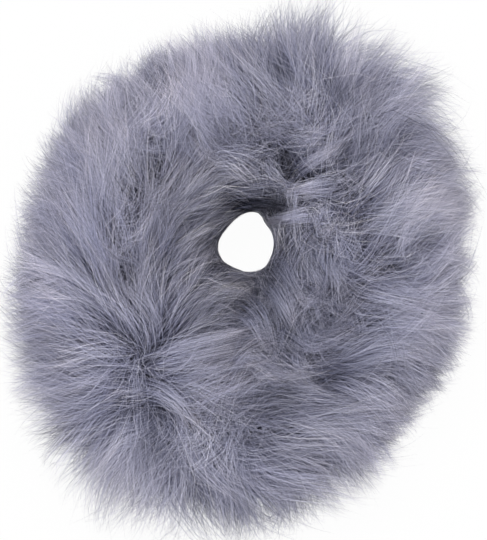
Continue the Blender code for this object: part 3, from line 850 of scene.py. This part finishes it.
def closing_seam_path():
    """A whip stitch over the meeting of the tube's ends, clear of the elastic on the hole side."""
    lift = CLOTH_THICKNESS / 2 + CLEARANCE + 2 * THREAD_RADIUS
    aside = (SEAM_GAP / 2 + CLOSING_BITE) / RING_RADIUS
    stops = []
    for slant in np.radians(np.linspace(*CLOSING_SLANTS, CLOSING_STITCHES)):
        near, far = CLOSING_BEARING - aside, CLOSING_BEARING + aside
        stops += [on_tube(near, slant, lift), on_tube(near, slant, -lift)]
        stops += [on_tube(far, slant, -lift), on_tube(far, slant, lift)]
    return stops


def elastic_join_path():
    """A zigzag that swaps sides of the doubled elastic at each needle hole."""
    lift = ELASTIC_THICKNESS + CLEARANCE * 1.5 + THREAD_RADIUS
    middle = ELASTIC_RADIUS + ELASTIC_THICKNESS + CLEARANCE / 2
    reach = ELASTIC_OVERLAP - 2 * JOIN_INSET / ELASTIC_RADIUS
    stops = []
    for i in range(JOIN_STITCHES):
        bearing = JOIN_BEARING + reach * (i / (JOIN_STITCHES - 1) - 0.5)
        side, height = (lift, JOIN_HALF_WIDTH) if i % 2 else (-lift, -JOIN_HALF_WIDTH)
        height += TUBE_HEIGHT
        stops += [round_axis(bearing, middle + shift, height) for shift in (side, -side)]
    return stops


def make_thread(name, stops, material, body, node):
    """Two plies twisted round each other, along a path through its needle holes."""
    stops = np.array(stops)
    soft = [stops[0]]
    for before, corner, after in zip(stops, stops[1:], stops[2:]):
        for end in (before, after):
            step = end - corner
            soft.append(corner + step * min(THREAD_CORNER / np.linalg.norm(step), THREAD_CORNER_MOST))
    soft = np.array(soft + [stops[-1]])
    far = np.append(0, np.cumsum(np.linalg.norm(np.diff(soft, axis=0), axis=1)))
    steps = np.arange(0, far[-1], THREAD_STEP)
    path = np.stack([np.interp(steps, far, soft[:, i]) for i in range(3)], axis=1)
    ahead = unit(np.gradient(path, axis=0))
    flat = unit(np.cross(ahead, np.array(ACROSS_THREADS)))
    stand = np.cross(ahead, flat)
    curve = bpy.data.curves.new(name, "CURVE")
    curve.dimensions = "3D"
    curve.bevel_depth = PLY_RADIUS * MM
    curve.bevel_resolution = 1
    curve.use_fill_caps = True
    for start in (0.0, math.pi):
        turn = start + 2 * math.pi * steps / PLY_TWIST
        ply = path + PLY_OFFSET * (flat * np.cos(turn)[:, None] + stand * np.sin(turn)[:, None])
        ply[:, :2] += AXIS[:2]
        spline = curve.splines.new("POLY")
        spline.points.add(len(ply) - 1)
        spline.points.foreach_set("co", np.column_stack([ply * MM, np.ones(len(ply))]).ravel())
    add_piece(name, curve, material, body, "sewing_thread", node)


def make_threads():
    material, nodes, _ = new_material("sewing_thread")
    shader = nodes["Principled BSDF"]
    shader.inputs["Base Color"].default_value = (0.13, 0.13, 0.165, 1.0)
    shader.inputs["Roughness"].default_value = 0.6
    make_thread("long_seam_plies", long_seam_path(), material, "fur_sleeve", "long_seam_thread")
    make_thread("closing_seam_plies", closing_seam_path(), material, "fur_sleeve", "closing_seam_thread")
    make_thread("elastic_join_plies", elastic_join_path(), material, "elastic_loop", "elastic_join_thread")


# Materials

TINT_STEP = 0.17  # change of brightness for one step of tint
PAINTED_SHADE_STEP = -0.4  # and painted shade, from the tips of the pile to its roots
SURFACE_BRIGHTNESS = 1.05
WARMTH = 0.5  # how much warmer the brighter strands are, and bluer those darkened, partly by painted shade
CAST_STEP = 0.05  # and how much tresses differ in that
STITCH_HEIGHT = 0.75  # as a share of its width


def new_material(name):
    material = bpy.data.materials.new(name)
    material.use_nodes = True
    return material, material.node_tree.nodes, material.node_tree.links


def ramp(nodes, *stops):
    made = nodes.new("ShaderNodeValToRGB")
    while len(made.color_ramp.elements) < len(stops):
        made.color_ramp.elements.new(1.0)
    for element, (place, colour) in zip(made.color_ramp.elements, stops):
        element.position = place
        element.color = (*colour, 1.0)
    return made


def attribute(nodes, name):
    made = nodes.new("ShaderNodeAttribute")
    made.attribute_name = name
    return made.outputs["Fac"]


def calculated(nodes, links, operation, *values):
    """A math node on sockets and plain numbers."""
    made = nodes.new("ShaderNodeMath")
    made.operation = operation
    for socket, value in zip(made.inputs, values):
        if isinstance(value, (int, float)):
            socket.default_value = value
        else:
            links.new(value, socket)
    return made.outputs["Value"]


def dimmed(nodes, links, colour, factor):
    made = nodes.new("ShaderNodeVectorMath")
    made.operation = "SCALE"
    links.new(colour, made.inputs[0])
    links.new(factor, made.inputs["Scale"])
    return made.outputs["Vector"]


def fur_material():
    """Darker and bluer at the root and deep in the pile, paler and warmer at the tips; the dark roots are
    partly the fibre's own colour and partly painted shade, and the darkening deep in the pile is painted
    shade.
    """
    material, nodes, links = new_material("fur")
    shader = nodes["Principled BSDF"]
    shader.inputs["Roughness"].default_value = 0.6
    shader.inputs["Specular IOR Level"].default_value = 0.2
    # Root to tip: the fibre's own paler tips, with painted shade darkening the roots
    tone = ramp(
        nodes,
        (0.0, (0.15, 0.152, 0.212)),
        (0.3, (0.56, 0.565, 0.745)),
        (0.7, (0.77, 0.765, 0.925)),
        (1.0, (0.94, 0.878, 1.0)),
    )
    links.new(attribute(nodes, "along"), tone.inputs["Fac"])
    own = calculated(nodes, links, "MULTIPLY_ADD", attribute(nodes, "tint"), TINT_STEP, 1.0)
    # Painted shade, from the depth attribute
    depth = attribute(nodes, "depth")
    deep = calculated(nodes, links, "MULTIPLY_ADD", depth, PAINTED_SHADE_STEP, SURFACE_BRIGHTNESS)
    bright = calculated(nodes, links, "MULTIPLY", own, deep)
    warm = calculated(nodes, links, "MULTIPLY_ADD", attribute(nodes, "cast"), CAST_STEP, 0.0)
    warm = calculated(nodes, links, "MULTIPLY_ADD", bright, WARMTH, warm)
    # Bluer as painted shade and darker tints dim the strands, warmer as they brighten
    hue = ramp(nodes, (0.0, (0.82, 0.852, 1.0)), (1.0, (1.0, 0.968, 0.80)))
    links.new(warm, hue.inputs["Fac"])
    colour = dimmed(nodes, links, tone.outputs["Color"], bright)
    tinted = nodes.new("ShaderNodeVectorMath")
    tinted.operation = "MULTIPLY"
    links.new(colour, tinted.inputs[0])
    links.new(hue.outputs["Color"], tinted.inputs[1])
    links.new(tinted.outputs["Vector"], shader.inputs["Base Color"])
    return material


def cloth_material(name, dark, light, stitch, roughness):
    """Rows of small V stitches, this many millimetres wide, with painted shade in the hollows between them.
    """
    material, nodes, links = new_material(name)
    shader = nodes["Principled BSDF"]
    shader.inputs["Roughness"].default_value = roughness
    shader.inputs["Specular IOR Level"].default_value = 0.2
    place = nodes.new("ShaderNodeUVMap")
    place.uv_map = "cut"
    split = nodes.new("ShaderNodeSeparateXYZ")
    links.new(place.outputs["UV"], split.inputs["Vector"])
    side = calculated(nodes, links, "FRACT", calculated(nodes, links, "DIVIDE", split.outputs["X"], stitch))
    slope = calculated(nodes, links, "ABSOLUTE", calculated(nodes, links, "SUBTRACT", side, 0.5))
    row = calculated(nodes, links, "DIVIDE", split.outputs["Y"], stitch * STITCH_HEIGHT)
    phase = calculated(nodes, links, "ADD", row, slope)
    wave = calculated(nodes, links, "MULTIPLY_ADD", phase, 2 * math.pi, 0.0)
    height = calculated(nodes, links, "MULTIPLY_ADD", calculated(nodes, links, "SINE", wave), 0.5, 0.5)
    # Painted shade: the dark colour in the hollows between stitches, the light one on their tops
    tone = ramp(nodes, (0.0, dark), (1.0, light))
    links.new(height, tone.inputs["Fac"])
    links.new(tone.outputs["Color"], shader.inputs["Base Color"])
    bump = nodes.new("ShaderNodeBump")
    bump.inputs["Strength"].default_value = 0.5
    bump.inputs["Distance"].default_value = 0.0002
    links.new(height, bump.inputs["Height"])
    links.new(bump.outputs["Normal"], shader.inputs["Normal"])
    return material


# Stage

FRAME_HEIGHT = 540  # pixels
PIXEL = 0.2285  # millimetres at the rim of the ring
RIM_HEIGHT = 22.0
LENS = 200.0

# Light and floor, in metres and watts
KEY_PLACE = (-0.04, 0.28, 0.8)
KEY_SIZE = 0.4
KEY_POWER = 4.6
KEY_AIM = (0.0, 0.0, 0.02)
FLOOR_SIZE = 6.0
FLOOR_DROP = 0.0002  # below the foot of the solids
FLOOR_GLOW = 0.97  # share of the floor's white that is its own, where the camera sees it


def make_camera():
    data = bpy.data.cameras.new("camera")
    data.sensor_width = 36.0
    data.lens = LENS
    data.clip_start, data.clip_end = 0.05, 20.0
    camera = bpy.data.objects.new("camera", data)
    bpy.context.scene.collection.objects.link(camera)
    away = FRAME_HEIGHT * PIXEL * LENS / data.sensor_width
    camera.location = (0.0, 0.0, (RIM_HEIGHT + away) * MM)
    bpy.context.scene.camera = camera


def add_light(name, place, size, power, target):
    data = bpy.data.lights.new(name, "AREA")
    data.size = size
    data.energy = power
    light = bpy.data.objects.new(name, data)
    light.location = place
    aim = Vector(target) - light.location
    light.rotation_euler = aim.to_track_quat("-Z", "Y").to_euler()
    bpy.context.scene.collection.objects.link(light)


def seen_directly(nodes, links):
    """1 for what the camera sees straight or in a reflection, and 0 for light that falls on the ring."""
    path = nodes.new("ShaderNodeLightPath")
    glossy, through = path.outputs["Is Glossy Ray"], path.outputs["Is Transmission Ray"]
    mirrored = calculated(nodes, links, "MAXIMUM", glossy, through)
    return calculated(nodes, links, "MAXIMUM", path.outputs["Is Camera Ray"], mirrored)


def make_floor():
    bpy.ops.mesh.primitive_plane_add(size=FLOOR_SIZE, location=(0.0, 0.0, -FLOOR_DROP))
    floor = bpy.context.object
    floor.name = "floor"
    material, nodes, links = new_material("floor")
    card = nodes["Principled BSDF"]
    card.inputs["Base Color"].default_value = (0.9, 0.9, 0.9, 1.0)
    card.inputs["Roughness"].default_value = 1.0
    card.inputs["Specular IOR Level"].default_value = 0.0
    glow = nodes.new("ShaderNodeEmission")
    mix = nodes.new("ShaderNodeMixShader")
    glowing = calculated(nodes, links, "MULTIPLY", seen_directly(nodes, links), FLOOR_GLOW)
    links.new(glowing, mix.inputs["Fac"])
    links.new(card.outputs["BSDF"], mix.inputs[1])
    links.new(glow.outputs["Emission"], mix.inputs[2])
    links.new(mix.outputs["Shader"], nodes["Material Output"].inputs["Surface"])
    floor.data.materials.append(material)


def make_world():
    world = bpy.data.worlds.new("studio")
    world.use_nodes = True
    nodes, links = world.node_tree.nodes, world.node_tree.links
    soft = nodes["Background"]
    soft.inputs["Color"].default_value = (0.97, 0.98, 1.0, 1.0)
    soft.inputs["Strength"].default_value = 0.6
    white = nodes.new("ShaderNodeBackground")
    white.inputs["Color"].default_value = (1.0, 1.0, 1.0, 1.0)
    mix = nodes.new("ShaderNodeMixShader")
    links.new(seen_directly(nodes, links), mix.inputs["Fac"])
    links.new(soft.outputs["Background"], mix.inputs[1])
    links.new(white.outputs["Background"], mix.inputs[2])
    links.new(mix.outputs["Shader"], nodes["World Output"].inputs["Surface"])
    bpy.context.scene.world = world


bpy.context.scene.view_settings.view_transform = "Standard"
make_camera()
make_world()
make_floor()
add_light("key", KEY_PLACE, KEY_SIZE, KEY_POWER, KEY_AIM)
make_fur()
make_backing(make_elastic())
make_threads()
